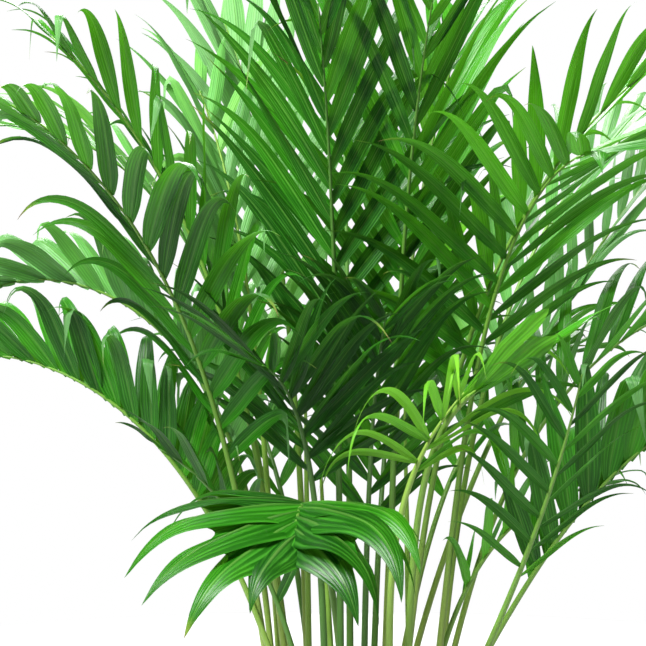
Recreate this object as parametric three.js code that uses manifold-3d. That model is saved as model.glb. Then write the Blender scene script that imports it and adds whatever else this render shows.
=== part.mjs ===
// A potted feather palm of the kentia kind: seven young stems planted in one round pot, their
// arching fronds with broad drooping leaflets, a few unopened spears, the soil and the pot.
// Millimetres, +Z up, the front of the plant towards -Y, the pot standing on z = 0.
import * as THREE from "three";
import Module from "manifold-3d";

const wasm = await Module();
wasm.setup();

// Driving dimensions.
const GAP = 0.3; // clearance between pieces that touch
const POT_HEIGHT = 300;
const POT_BASE_RADIUS = 120;
const POT_RIM_RADIUS = 166;
const POT_WALL = 9;
const POT_FLOOR = 14;
const RIM_BAND_HEIGHT = 40;
const RIM_BAND_DEPTH = 7;
const POT_EDGE = 3; // bevels of the rim and the foot
const POT_SEGMENTS = 40;
const DRAIN_HOLES = 4;
const DRAIN_RADIUS = 7;
const DRAIN_CIRCLE = 70;
const DRAIN_SIDES = 12;
const WATERING_SPACE = 30; // from the soil up to the rim
const SOIL_LEVEL = POT_HEIGHT - WATERING_SPACE;
const SOIL_MOUND = 6; // how far the soil stands higher in the middle
const SOIL_CROWN_SHARE = 0.6; // share of the soil's radius that is level

const STEM_CIRCLE = 85; // the six outer stems stand on this radius, the seventh in the middle
const STEM_ANGLES = [10, 70, 130, 190, 250, 310];
const STEM_HEIGHT = 22; // how far a stem stands out of the soil
const STEM_TOP = SOIL_LEVEL + STEM_HEIGHT;
const STEM_DEPTH = 45; // how deep a stem is planted
const STEM_RADIUS = 27;
const STEM_FOOT_SHARE = 0.7; // radius of the planted end, as a share of the stem's
const STEM_SWELL_SHARE = 1.05; // radius of the swelling just under the soil's surface
const STEM_TOP_SHARE = 0.85; // radius of the level top
const STEM_SWELL_DEPTH = 8;
const STEM_SHOULDER = 10; // height over the soil where the stem draws in
const STEM_SIDES = 12;
const SEAT_CIRCLE = 15.5; // fronds leave a stem on this circle, one in the middle
const SEATS = 6;

const STALK_BASE_RADIUS = 6;
const STALK_NECK_RADIUS = 3.6; // where the leaflets begin
const STALK_TIP_RADIUS = 1.3;
const STALK_STATIONS = 9;
const STALK_SIDES = 4;
const STATION_CROWDING = 1.4; // more stations towards the curved end
const SPINE_STEPS = 48;
const SPINE_BOXES = 8; // boxes round a stalk when it is tested against others

const LEAF_STEPS = 10;
const LEAF_STATIONS = [3, 7]; // steps that carry a section, between the root and the tip
const LEAF_RIDGE = 1.5; // height of the folded blade over its edges
const GUARD = 0.4; // free space kept round a leaflet
const SIDE_OFFSET = 0.22; // right leaflets start a little further along than left ones
const LAST_LEAF_PLACE = 0.985; // share of the bladed part where the last leaflet is rooted
const DROOP = 2.2; // how much of a frond's sag its leaflets take

// How the leaflets of one frond differ, by their place u from the first (0) to the last (1).
const LEAF_LEAST_LENGTH = 0.62; // shares of the frond's leaf length
const LEAF_MORE_LENGTH = 0.465;
const LEAF_LENGTH_START = 0.12; // where on the half wave of lengths the first and last stand
const LEAF_LENGTH_RUN = 0.82;
const LEAF_LENGTH_POWER = 1.2;
const END_PLACE = 0.8; // from here on the leaflets shorten towards the tip
const END_SHORTENING = 0.35;
const LEAF_LEAST_WIDTH = 0.7; // shares of the frond's leaf width
const LEAF_MORE_WIDTH = 0.42;
const LEAF_WIDTH_START = 0.15;
const LEAF_WIDTH_RUN = 0.7;
const SWEEP_LOSS = 0.52; // share of the sweep lost by the last leaflet
const LENGTH_SPREAD = 0.14; // random differences between leaflets: shares, then degrees
const WIDTH_SPREAD = 0.16;
const SAG_SPREAD = 0.4;
const SWEEP_SPREAD = 10;
const LIFT_SPREAD = 16;

// Outline of a leaflet, by the share of its length.
const ROOT_WIDTH = 0.3; // share of the width at the root
const ROOT_RUN = 0.25; // the full width is reached here
const TAPER_PLACE = 0.4; // the taper to the tip starts here
const TAPER_POWER = 1.6;

// One row for each frond. The front ones come first and the others make way for them.
// stem 0 is the middle one; facing is degrees round from +X; rise and fall are the degrees off
// vertical at the foot and at the tip; power puts the bend nearer the tip; curl turns the facing;
// blade is where the leaflets begin; end widens the last ones.
const COLUMNS = [
  "stem", "facing", "rise", "fall", "power", "curl", "length", "blade",
  "pairs", "leaf", "width", "lift", "sweep", "sag", "end",
];
const FRONDS = [
  [5, 186, 17, 104, 2.7, -18, 850, 0.45, 15, 170, 17, 66, 58, 3.6, 1],
  [4, 235, 13, 63, 2.7, -17, 1040, 0.46, 13, 230, 21, 15, 52, 2.4, 1],
  [1, 300, 10, 98, 4, -10, 1030, 0.5, 14, 280, 17, 12, 66, 1.1, 1.9],
  [6, 277, 5, 68, 3.2, 29, 640, 0.95, 1, 200, 36, 20, 22, 0.3, 1],
  [6, 256, 9, 42, 2, 81, 613, 0.78, 4, 220, 13, 10, 80, 3.4, 1],
  [6, 312, 30, 30, 1, -31, 690, 0.55, 8, 170, 11, 10, 62, 0.8, 1],
  [6, 338, 27, 67, 3, -20, 700, 0.5, 9, 200, 20, 62, 45, 0.8, 1],
  [0, 251, 11, 127, 2.5, 17, 660, 0.76, 6, 230, 38, 2, 66, 1.4, 1],
  [5, 255, 4, 77, 4, 0, 670, 0.66, 7, 220, 18, 20, 55, 0.6, 1],
  [4, 140, 5, 37, 4, -13, 1000, 0.52, 10, 250, 17, 20, 44, 0.7, 1],
  [4, 172, 4, 112, 3, 18, 905, 0.52, 11, 170, 17, 54, 50, 2.2, 1],
  [3, 160, 8, 88, 3.8, 22, 1060, 0.5, 13, 240, 15, 15, 50, 1.5, 1],
  [2, 15, 11, 50, 1.2, 24, 1040, 0.5, 12, 250, 14, 20, 40, 0.8, 1],
  [0, 95, 2, 26, 2.5, 0, 1130, 0.5, 12, 280, 17, 18, 48, 0.4, 1],
  [5, 262, 2, 36, 2.5, 0, 1060, 0.5, 12, 270, 17, 18, 40, 0.6, 1],
  [6, 280, 3, 40, 2.5, 0, 1080, 0.5, 12, 270, 15, 18, 44, 0.9, 1],
  [3, 122, 3, 38, 2.5, 0, 1120, 0.5, 10, 280, 24, 18, 36, 0.5, 1],
  [2, 62, 4, 42, 2.5, 0, 1120, 0.5, 10, 280, 22, 18, 36, 0.6, 1],
  [1, 30, 6, 60, 2.5, 0, 1030, 0.5, 11, 250, 17, 18, 48, 1, 1],
  [4, 205, 6, 50, 2.5, 0, 1080, 0.5, 12, 240, 17, 18, 48, 1.2, 1],
  [6, 328, 6, 60, 2.5, 0, 1080, 0.5, 12, 250, 17, 18, 48, 1.2, 1],
  [2, 80, 12, 92, 2.5, 0, 800, 0.5, 9, 220, 17, 30, 48, 1.4, 1],
  [3, 118, 13, 98, 2.5, 0, 760, 0.5, 8, 210, 17, 35, 48, 1.6, 1],
  [2, 42, 13, 96, 2.5, 0, 780, 0.5, 8, 210, 17, 35, 48, 1.6, 1],
  [1, 8, 12, 84, 2.5, 0, 840, 0.5, 9, 220, 17, 35, 48, 1.4, 1],
  [1, 325, 12, 84, 2.5, 0, 540, 0.5, 6, 180, 14, 25, 48, 1.4, 1],
  [0, 275, 6, 60, 2.5, 0, 740, 0.5, 8, 210, 17, 20, 48, 1, 1],
  [5, 205, 12, 60, 2.5, 0, 560, 0.5, 6, 160, 13, 25, 48, 1, 1],
].map((row) => Object.fromEntries(row.map((value, i) => [COLUMNS[i], value])));

// Unopened spears: stem, facing, lean off vertical, length.
const SPEARS = [
  [5, 160, 3, 560],
  [3, 250, 2, 640],
  [1, 110, 3, 590],
];
const SPEAR_NECK_PLACE = 0.6; // share of a spear's length where it starts to taper quickly

// Turns tried for a leaflet that would touch another frond: lift, sweep, share of its length.
const TURNS = [
  [0, 0, 1], [8, 0, 1], [-8, 0, 1], [0, 7, 1], [0, -7, 1], [16, 0, 1], [-16, 0, 1], [8, 7, 1],
  [-8, -7, 1], [8, -7, 1], [-8, 7, 1], [24, 0, 1], [-24, 0, 1], [0, 14, 1], [0, -14, 1],
  [0, 0, 0.75], [16, 0, 0.75], [-16, 0, 0.75], [30, 0, 0.75], [-30, 0, 0.75], [0, 12, 0.75],
  [0, -12, 0.75], [0, 0, 0.5], [20, 0, 0.5], [-20, 0, 0.5],
];
// Turns tried for a stalk that would touch another: facing, rise.
const FACING_TURNS = [0, 3, -3, 6, -6, 9, -9, 12, -12, 15, -15];
const RISE_TURNS = [0, 1, -1, 2, -2];
const STALK_TURNS = RISE_TURNS.flatMap((rise) => FACING_TURNS.map((facing) => [facing, rise]));

const radians = THREE.MathUtils.degToRad;
const UP = new THREE.Vector3(0, 0, 1);

// A repeatable stream of numbers between 0 and 1.
function stream(seed) {
  let x = Math.imul(seed, 2654435761) >>> 0;
  return () => {
    x = (Math.imul(x, 1664525) + 1013904223) >>> 0;
    return x / 4294967296;
  };
}

// A share near 1, from a random number r between 0 and 1.
function spread(r, range) {
  return 1 + (r - 0.5) * range;
}

// A solid from its corners and triangles, turned so that its faces point out.
function solidOf(corners, triangles) {
  let volume = 0;
  for (const [a, b, c] of triangles) {
    volume += corners[a].clone().cross(corners[b]).dot(corners[c]);
  }
  const faces = volume < 0 ? triangles.map(([a, b, c]) => [a, c, b]) : triangles;
  const vertProperties = new Float32Array(corners.flatMap((p) => [p.x, p.y, p.z]));
  const triVerts = new Uint32Array(faces.flat());
  return new wasm.Manifold(new wasm.Mesh({ numProp: 3, vertProperties, triVerts }));
}

// A solid skinned over rings of equally many corners. The ends close on flat fans, or on two tips.
function skin(rings, root, tip) {
  const sides = rings[0].length;
  const corners = rings.flat();
  const triangles = [];
  for (let r = 0; r + 1 < rings.length; r++) {
    for (let k = 0; k < sides; k++) {
      const a = r * sides + k;
      const b = r * sides + ((k + 1) % sides);
      triangles.push([a, b, b + sides], [a, b + sides, a + sides]);
    }
  }
  const last = (rings.length - 1) * sides;
  if (tip) {
    corners.push(root, tip);
    for (let k = 0; k < sides; k++) {
      triangles.push([(k + 1) % sides, k, corners.length - 2]);
      triangles.push([last + k, last + ((k + 1) % sides), corners.length - 1]);
    }
  } else {
    for (let k = 1; k + 1 < sides; k++) {
      triangles.push([0, k + 1, k], [last, last + k, last + k + 1]);
    }
  }
  return solidOf(corners, triangles);
}

// A solid turned round the Z axis from an outline of [radius, height] points.
function turned(outline, segments) {
  const shape = new THREE.LatheGeometry(outline.map(([r, z]) => new THREE.Vector2(r, z)), segments);
  shape.rotateX(Math.PI / 2);
  const position = shape.getAttribute("position");
  const corners = [];
  const places = new Map();
  const seen = [];
  for (let i = 0; i < position.count; i++) {
    const p = new THREE.Vector3().fromBufferAttribute(position, i);
    const key = [p.x, p.y, p.z].map((v) => Math.round(v * 1000)).join();
    if (!places.has(key)) {
      places.set(key, corners.length);
      corners.push(p);
    }
    seen.push(places.get(key));
  }
  const triangles = [];
  for (let i = 0; i < shape.index.count; i += 3) {
    const t = [0, 1, 2].map((k) => seen[shape.index.getX(i + k)]);
    if (new Set(t).size === 3) triangles.push(t);
  }
  return solidOf(corners, triangles);
}

function stemCentre(stem) {
  if (stem === 0) return new THREE.Vector3(0, 0, 0);
  const angle = radians(STEM_ANGLES[stem - 1]);
  return new THREE.Vector3(STEM_CIRCLE * Math.cos(angle), STEM_CIRCLE * Math.sin(angle), 0);
}

// Gives each stalk a seat on its stem: the free one nearest its facing, or the middle one.
const taken = new Set();
function seatOf(stem, facing) {
  const off = (seat) => Math.abs(((seat * 360) / SEATS - facing + 540) % 360 - 180);
  const free = [...Array(SEATS).keys()].filter((seat) => !taken.has(stem + ":" + seat));
  const point = stemCentre(stem).setZ(STEM_TOP + GAP);
  if (!free.length) return point;
  const seat = free.reduce((best, other) => (off(other) < off(best) ? other : best));
  taken.add(stem + ":" + seat);
  const angle = radians((seat * 360) / SEATS);
  const arm = new THREE.Vector3(Math.cos(angle), Math.sin(angle), 0);
  return point.addScaledVector(arm, SEAT_CIRCLE);
}

// The middle line of a stalk, in equal steps, with the direction of each step.
function growSpine(foot, plan, [facingTurn, riseTurn]) {
  const points = [foot.clone()];
  const directions = [];
  for (let k = 0; k < SPINE_STEPS; k++) {
    const s = (k + 0.5) / SPINE_STEPS;
    const rise = plan.rise + riseTurn;
    const lean = radians(rise + (plan.fall - rise) * s ** plan.power);
    const way = radians(plan.facing + facingTurn + plan.curl * s * s);
    const d = new THREE.Vector3(
      Math.sin(lean) * Math.cos(way), Math.sin(lean) * Math.sin(way), Math.cos(lean),
    );
    directions.push(d);
    points.push(points[k].clone().addScaledVector(d, plan.length / SPINE_STEPS));
  }
  return { points, directions };
}

// Place, direction, width axis and upper side of a stalk at the share s of its length.
function frameAt(spine, s) {
  const k = Math.min(SPINE_STEPS - 1, Math.floor(s * SPINE_STEPS));
  const place = spine.points[k].clone().lerp(spine.points[k + 1], s * SPINE_STEPS - k);
  const along = spine.directions[k];
  const across = along.clone().cross(UP).normalize();
  return { place, along, across, upper: across.clone().cross(along) };
}

function stationShare(k) {
  return 1 - (1 - k / STALK_STATIONS) ** STATION_CROWDING;
}

function stalkRadius(s, blade) {
  if (s < blade) return STALK_BASE_RADIUS + ((STALK_NECK_RADIUS - STALK_BASE_RADIUS) * s) / blade;
  return STALK_NECK_RADIUS + ((STALK_TIP_RADIUS - STALK_NECK_RADIUS) * (s - blade)) / (1 - blade);
}

// The stalk's solid, widened all round by extra. Its foot is level, to stand on the stem.
function stalkSolid(spine, plan, extra) {
  const rings = [];
  for (let k = 0; k <= STALK_STATIONS; k++) {
    const s = stationShare(k);
    const at = frameAt(spine, s);
    if (k === 0) at.upper = at.across.clone().cross(UP);
    const radius = stalkRadius(s, plan.blade) + extra;
    rings.push([...Array(STALK_SIDES).keys()].map((i) => {
      const a = (2 * Math.PI * i) / STALK_SIDES;
      return at.place.clone()
        .addScaledVector(at.across, radius * Math.cos(a))
        .addScaledVector(at.upper, radius * Math.sin(a));
    }));
  }
  return skin(rings);
}

// The place on the stalk's straight stretches between stations where a leaflet is rooted.
function rootAt(spine, s) {
  let k = 0;
  while (k + 2 <= STALK_STATIONS && stationShare(k + 1) < s) k++;
  const [a, b] = [stationShare(k), stationShare(k + 1)];
  return frameAt(spine, a).place.lerp(frameAt(spine, b).place, (s - a) / (b - a));
}

// The middle line and width axes of one leaflet. side is -1 or 1; turn is one row of TURNS.
function growLeaflet(spine, plan, pair, side, seed, turn) {
  const next = stream(seed);
  const [r0, r1, r2, r3, r4] = [next(), next(), next(), next(), next()];
  const u = (pair + 0.5 + SIDE_OFFSET * side) / plan.pairs;
  const s = plan.blade + (1 - plan.blade) * Math.min(1, u) * LAST_LEAF_PLACE;
  const at = frameAt(spine, s);
  const ending = Math.max(0, (u - END_PLACE) / (1 - END_PLACE));
  const swell = Math.sin(Math.PI * Math.min(1, u * LEAF_LENGTH_RUN + LEAF_LENGTH_START));
  const size = (LEAF_LEAST_LENGTH + LEAF_MORE_LENGTH * swell ** LEAF_LENGTH_POWER)
    * (1 - END_SHORTENING * ending);
  const length = plan.leaf * size * spread(r0, LENGTH_SPREAD) * turn[2];
  const belly = Math.sin(Math.PI * (LEAF_WIDTH_START + LEAF_WIDTH_RUN * u));
  const width = plan.width * (LEAF_LEAST_WIDTH + LEAF_MORE_WIDTH * belly)
    * spread(r1, WIDTH_SPREAD) * (1 + (plan.end - 1) * ending);
  const sweep = radians(plan.sweep * (1 - SWEEP_LOSS * u) + (r2 - 0.5) * SWEEP_SPREAD + turn[1]);
  const lift = radians(plan.lift + (r3 - 0.5) * LIFT_SPREAD + turn[0]);
  const out = at.across.clone().multiplyScalar(side * Math.cos(lift))
    .addScaledVector(at.upper, Math.sin(lift));
  const normal = at.upper.clone().multiplyScalar(Math.cos(lift))
    .addScaledVector(at.across, -side * Math.sin(lift));
  const along = at.along.clone().multiplyScalar(Math.cos(sweep))
    .addScaledVector(out, Math.sin(sweep));
  const points = [rootAt(spine, s)];
  const across = [];
  const normals = [];
  for (let k = 0; k < LEAF_STEPS; k++) {
    across.push(along.clone().cross(normal).normalize());
    normals.push(normal.clone());
    points.push(points[k].clone().addScaledVector(along, length / LEAF_STEPS));
    const share = (k + 0.5) / LEAF_STEPS;
    const sag = (plan.sag * spread(r4, SAG_SPREAD) * share * share * DROOP) / LEAF_STEPS;
    along.addScaledVector(UP, -sag).normalize();
    normal.addScaledVector(along, -normal.dot(along)).normalize();
  }
  return { points, across, normals, width };
}

// Half the width of a leaflet at the share t of its length: narrow at the root, long pointed tip.
function halfWidth(width, t) {
  const root = ROOT_WIDTH + (1 - ROOT_WIDTH) * Math.min(1, t / ROOT_RUN);
  const late = Math.max(0, (t - TAPER_PLACE) / (1 - TAPER_PLACE));
  return 0.5 * width * root * (1 - late ** TAPER_POWER);
}

// The leaflet's solid: a blade folded along a low ridge.
function leafletSolid(leaflet) {
  const rings = LEAF_STATIONS.map((k) => {
    const half = halfWidth(leaflet.width, k / LEAF_STEPS);
    const { points: p, across: a, normals: n } = leaflet;
    return [
      p[k].clone().addScaledVector(a[k], -half),
      p[k].clone().addScaledVector(a[k], half),
      p[k].clone().addScaledVector(n[k], LEAF_RIDGE),
    ];
  });
  return skin(rings, leaflet.points[0], leaflet.points[LEAF_STEPS]);
}

// The space that a leaflet keeps free round itself.
function guardSolid(leaflet) {
  const rings = LEAF_STATIONS.map((k) => {
    const half = halfWidth(leaflet.width, k / LEAF_STEPS) + GUARD;
    const { points: p, across: a, normals: n } = leaflet;
    return [
      p[k].clone().addScaledVector(a[k], -half),
      p[k].clone().addScaledVector(n[k], -GUARD),
      p[k].clone().addScaledVector(a[k], half),
      p[k].clone().addScaledVector(n[k], LEAF_RIDGE + GUARD),
    ];
  });
  return skin(rings, leaflet.points[0], leaflet.points[LEAF_STEPS]);
}

// Boxes round a chain of points, one for each stretch, used to pass over pieces far apart.
function boxesAlong(points, stops, reach) {
  const boxes = [];
  for (let i = 0; i + 1 < stops.length; i++) {
    const box = new THREE.Box3();
    for (let k = stops[i]; k <= stops[i + 1]; k++) box.expandByPoint(points[k]);
    boxes.push(box.expandByScalar(reach));
  }
  return boxes;
}
function near(boxes, others) {
  return boxes.some((box) => others.some((other) => box.intersectsBox(other)));
}
function meets(solid, other) {
  const common = solid.intersect(other);
  const found = !common.isEmpty();
  common.delete();
  return found;
}

// The pot: a turned wall with a rim band, and drain holes through its floor.
const bandFoot = POT_HEIGHT - RIM_BAND_HEIGHT;
const bodyTopRadius = POT_RIM_RADIUS - RIM_BAND_DEPTH;
const innerTopRadius = bodyTopRadius - POT_WALL;
const innerBaseRadius = POT_BASE_RADIUS - POT_WALL;
let pot = turned([
  [0, 0],
  [POT_BASE_RADIUS - POT_EDGE, 0],
  [POT_BASE_RADIUS, POT_EDGE],
  [bodyTopRadius, bandFoot - POT_EDGE],
  [POT_RIM_RADIUS, bandFoot + POT_EDGE],
  [POT_RIM_RADIUS, POT_HEIGHT - POT_EDGE],
  [POT_RIM_RADIUS - POT_EDGE, POT_HEIGHT],
  [innerTopRadius + POT_EDGE, POT_HEIGHT],
  [innerTopRadius, POT_HEIGHT - POT_EDGE],
  [innerBaseRadius, POT_FLOOR],
  [0, POT_FLOOR],
], POT_SEGMENTS);
for (let i = 0; i < DRAIN_HOLES; i++) {
  const angle = (2 * Math.PI * (i + 0.5)) / DRAIN_HOLES;
  const drill = turned(
    [[0, -1], [DRAIN_RADIUS, -1], [DRAIN_RADIUS, POT_FLOOR + 1], [0, POT_FLOOR + 1]],
    DRAIN_SIDES,
  );
  const [x, y] = [DRAIN_CIRCLE * Math.cos(angle), DRAIN_CIRCLE * Math.sin(angle)];
  pot = pot.subtract(drill.translate([x, y, 0]));
}

// The stems: short sheathed bases, planted in the soil, that carry the fronds on their level tops.
function stemSolid(stem, extra) {
  const { x, y } = stemCentre(stem);
  return turned([
    [0, SOIL_LEVEL - STEM_DEPTH - extra],
    [STEM_RADIUS * STEM_FOOT_SHARE + extra, SOIL_LEVEL - STEM_DEPTH - extra],
    [STEM_RADIUS * STEM_SWELL_SHARE + extra, SOIL_LEVEL - STEM_SWELL_DEPTH],
    [STEM_RADIUS + extra, SOIL_LEVEL + STEM_SHOULDER],
    [STEM_RADIUS * STEM_TOP_SHARE + extra, STEM_TOP],
    [0, STEM_TOP],
  ], STEM_SIDES).translate([x, y, 0]);
}
const stemNumbers = [...Array(STEM_ANGLES.length + 1).keys()];
const stems = stemNumbers.map((n) => stemSolid(n, 0));

// The soil fills the pot up to its level, mounded a little in the middle.
const wallRun = (innerTopRadius - innerBaseRadius) / (POT_HEIGHT - POT_EDGE - POT_FLOOR);
const innerRadiusAt = (z) => innerBaseRadius + wallRun * (z - POT_FLOOR);
const soilEdge = SOIL_LEVEL - SOIL_MOUND;
let soil = turned([
  [0, POT_FLOOR + GAP],
  [innerRadiusAt(POT_FLOOR) - GAP, POT_FLOOR + GAP],
  [innerRadiusAt(soilEdge) - GAP, soilEdge],
  [innerRadiusAt(soilEdge) * SOIL_CROWN_SHARE, SOIL_LEVEL],
  [0, SOIL_LEVEL],
], POT_SEGMENTS);
for (const n of stemNumbers) soil = soil.subtract(stemSolid(n, GAP));

// All stalks first, each turned a little if it would touch one that already stands.
const stalks = [];
function standStalk(plan) {
  const foot = seatOf(plan.stem, plan.facing);
  for (const turn of STALK_TURNS) {
    const spine = growSpine(foot, plan, turn);
    const stops = [...Array(SPINE_BOXES + 1).keys()].map((k) => (k * SPINE_STEPS) / SPINE_BOXES);
    const boxes = boxesAlong(spine.points, stops, STALK_BASE_RADIUS + GAP);
    const guard = stalkSolid(spine, plan, GAP);
    if (stalks.every((other) => !near(boxes, other.boxes) || !meets(guard, other.solid))) {
      const stalk = { plan, spine, boxes, solid: stalkSolid(spine, plan, 0), leaflets: [] };
      stalks.push(stalk);
      return stalk;
    }
  }
  throw new Error("no free place for a stalk on stem " + plan.stem + " facing " + plan.facing);
}
FRONDS.forEach(standStalk);
const spears = SPEARS.map(([stem, facing, lean, length]) => standStalk({
  stem, facing, rise: lean, fall: lean, power: 1, curl: 0, length, blade: SPEAR_NECK_PLACE,
}));

// Then the leaflets, frond by frond, each with the first turn that clears everything before it.
const potBoxes = [new THREE.Box3(
  new THREE.Vector3(-POT_RIM_RADIUS, -POT_RIM_RADIUS, 0),
  new THREE.Vector3(POT_RIM_RADIUS, POT_RIM_RADIUS, POT_HEIGHT),
)];
function clearLeaflet(stalk, index, pair, side) {
  const seed = index * 64 + pair * 2 + (side > 0 ? 1 : 0) + 1;
  for (const turn of TURNS) {
    const leaflet = growLeaflet(stalk.spine, stalk.plan, pair, side, seed, turn);
    const stops = [0, ...LEAF_STATIONS, LEAF_STEPS];
    const boxes = boxesAlong(leaflet.points, stops, leaflet.width / 2);
    if (near(boxes, potBoxes)) continue;
    const guard = guardSolid(leaflet);
    const clear = stalks.every((other) => {
      if (other === stalk) return true;
      if (near(boxes, other.boxes) && meets(guard, other.solid)) return false;
      return other.leaflets.every((l) => !near(boxes, l.boxes) || !meets(guard, l.solid));
    });
    guard.delete();
    if (clear) return { boxes, solid: leafletSolid(leaflet) };
  }
  return null;
}
FRONDS.forEach((plan, index) => {
  const stalk = stalks[index];
  for (let pair = 0; pair < plan.pairs; pair++) {
    for (const side of [-1, 1]) {
      const leaflet = clearLeaflet(stalk, index, pair, side);
      if (leaflet) stalk.leaflets.push(leaflet);
    }
  }
});

// Each solid becomes a named mesh with its own material.
const palm = new THREE.Group();
palm.name = "potted_palm";
function addMesh(name, solid, color, roughness) {
  const { numProp, vertProperties, triVerts } = solid.getMesh();
  const geometry = new THREE.BufferGeometry();
  const positions = new Float32Array((vertProperties.length / numProp) * 3);
  for (let i = 0; i < positions.length / 3; i++) {
    positions.set(vertProperties.subarray(i * numProp, i * numProp + 3), i * 3);
  }
  geometry.setAttribute("position", new THREE.BufferAttribute(positions, 3));
  geometry.setIndex(new THREE.BufferAttribute(new Uint32Array(triVerts), 1));
  const mesh = new THREE.Mesh(
    geometry, new THREE.MeshStandardMaterial({ color, roughness, metalness: 0 }),
  );
  mesh.name = name;
  palm.add(mesh);
}
const numbered = (word, n) => word + "_" + String(n).padStart(2, "0");
addMesh("pot", pot, 0xb5673f, 0.8);
addMesh("soil", soil, 0x3a2a1e, 0.95);
stems.forEach((solid, i) => addMesh(numbered("stem", i + 1), solid, 0x6f7a35, 0.7));
FRONDS.forEach((plan, i) => {
  const solids = [stalks[i].solid, ...stalks[i].leaflets.map((leaflet) => leaflet.solid)];
  addMesh(numbered("frond", i + 1), wasm.Manifold.union(solids), 0x3f7f2c, 0.5);
});
spears.forEach((spear, i) => addMesh(numbered("spear", i + 1), spear.solid, 0x86a447, 0.5));

export default palm;
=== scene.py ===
"""Looks of the potted palm: smooth fronds, spears, stem sheaths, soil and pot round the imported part."""

import math

import bpy
import numpy as np
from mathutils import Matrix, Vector
from mathutils.kdtree import KDTree


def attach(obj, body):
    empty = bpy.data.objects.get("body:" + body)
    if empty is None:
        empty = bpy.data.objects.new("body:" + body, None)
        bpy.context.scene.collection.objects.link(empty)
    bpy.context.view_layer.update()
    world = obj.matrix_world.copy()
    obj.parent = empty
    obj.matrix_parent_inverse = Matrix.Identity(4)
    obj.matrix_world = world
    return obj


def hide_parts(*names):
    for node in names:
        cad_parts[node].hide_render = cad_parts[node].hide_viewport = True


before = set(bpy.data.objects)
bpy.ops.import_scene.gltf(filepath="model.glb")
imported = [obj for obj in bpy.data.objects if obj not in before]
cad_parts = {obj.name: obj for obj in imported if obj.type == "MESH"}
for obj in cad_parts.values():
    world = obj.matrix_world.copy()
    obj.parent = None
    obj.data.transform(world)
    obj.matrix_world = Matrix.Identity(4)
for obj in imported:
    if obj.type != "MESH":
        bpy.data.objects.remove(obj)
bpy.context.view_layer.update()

MM = 0.001
UP = np.array([0.0, 0.0, 1.0])

# Sizes shared with the part, in millimetres.
GAP = 0.3
POT_HEIGHT = 300
POT_BASE_RADIUS = 120
POT_RIM_RADIUS = 166
POT_WALL = 9
RIM_BAND_HEIGHT = 40
RIM_BAND_DEPTH = 7
SOIL_LEVEL = 270
SOIL_MOUND = 6
SOIL_CROWN_SHARE = 0.6
STEM_CIRCLE = 85
STEM_ANGLES = [10, 70, 130, 190, 250, 310]
STEM_TOP = SOIL_LEVEL + 22
STEM_RADIUS = 27
SEAT_CIRCLE = 15.5
SEATS = 6
STALK_BASE_RADIUS = 6
STALK_NECK_RADIUS = 3.6
STALK_TIP_RADIUS = 1.3
STALK_STATIONS = 9
STATION_CROWDING = 1.4
SPINE_STEPS = 48
LEAF_STEPS = 10
SIDE_OFFSET = 0.22
LAST_LEAF_PLACE = 0.985
DROOP = 2.2
SPEAR_NECK_PLACE = 0.6

# How leaflets differ along a frond, as in the part.
LEAF_LEAST_LENGTH = 0.62
LEAF_MORE_LENGTH = 0.465
LEAF_LENGTH_START = 0.12
LEAF_LENGTH_RUN = 0.82
LEAF_LENGTH_POWER = 1.2
END_PLACE = 0.8
END_SHORTENING = 0.35
LEAF_LEAST_WIDTH = 0.7
LEAF_MORE_WIDTH = 0.42
LEAF_WIDTH_START = 0.15
LEAF_WIDTH_RUN = 0.7
SWEEP_LOSS = 0.52
LENGTH_SPREAD = 0.14
WIDTH_SPREAD = 0.16
SAG_SPREAD = 0.4
SWEEP_SPREAD = 10
LIFT_SPREAD = 16

COLUMNS = (
    "stem facing rise fall power curl length blade pairs leaf width lift sweep sag end young"
).split()
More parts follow.
